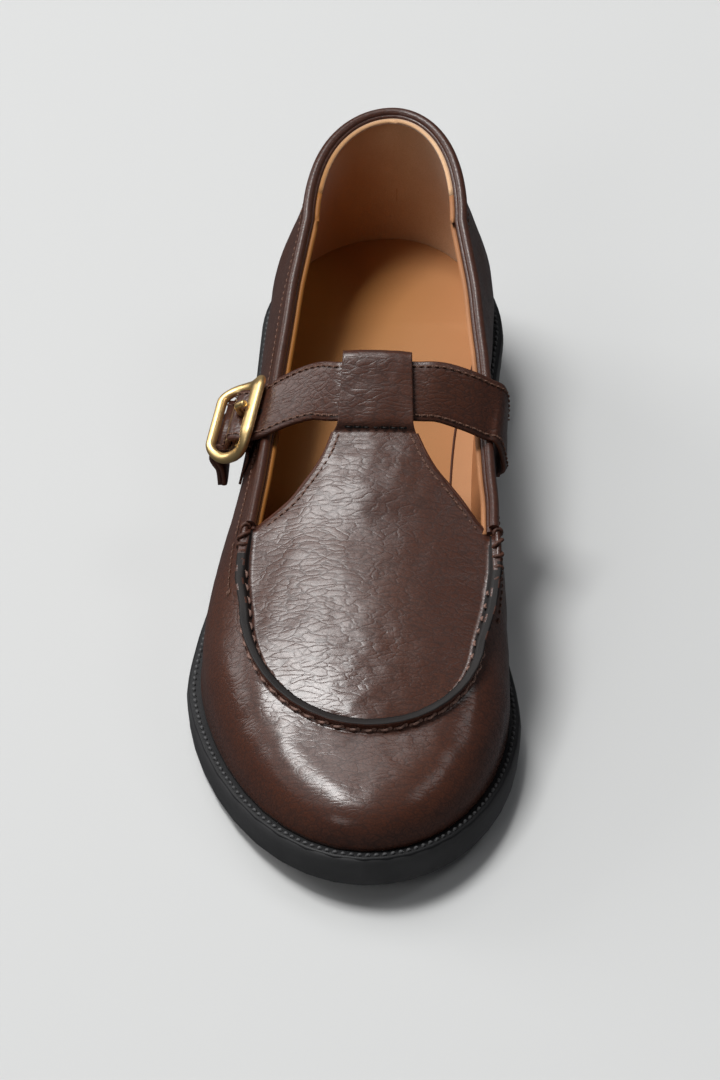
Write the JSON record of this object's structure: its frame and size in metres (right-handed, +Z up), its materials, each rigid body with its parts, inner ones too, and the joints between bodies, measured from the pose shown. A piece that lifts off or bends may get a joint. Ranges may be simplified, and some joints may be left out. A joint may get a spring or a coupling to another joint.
{
  "type": "mary jane shoe",
  "caption": "T-bar mary jane shoe in dark brown leather with a raised moc seam, black welted rubber sole and brass buckle on its strap; right foot.",
  "frame": {"origin": "floor level under the middle of the shoe's bounding box", "axes": "+Z up, +Y from the toe towards the heel along the shoe, +X towards the inner (medial) side of the foot, so the buckle is at -X"},
  "size_m": [0.0974, 0.264, 0.0831],
  "materials": {
    "brown_leather": "soft pebbled leather with a waxy sheen",
    "black_rubber": "matt black rubber",
    "black_welt": "matt black welt",
    "tan_insole_leather": "smooth tan leather",
    "antique_brass": "satin antique brass"
  },
  "bodies": {
    "root": {"outsole": "black_rubber", "heel": "black_rubber", "welt": "black_welt", "insole": "tan_insole_leather", "upper": "brown_leather", "binding": "brown_leather", "strap": "brown_leather", "buckle_frame": "antique_brass", "buckle_bar": "antique_brass", "prong": "antique_brass", "buckle_keeper": "brown_leather"}
  },
  "joints": []
}
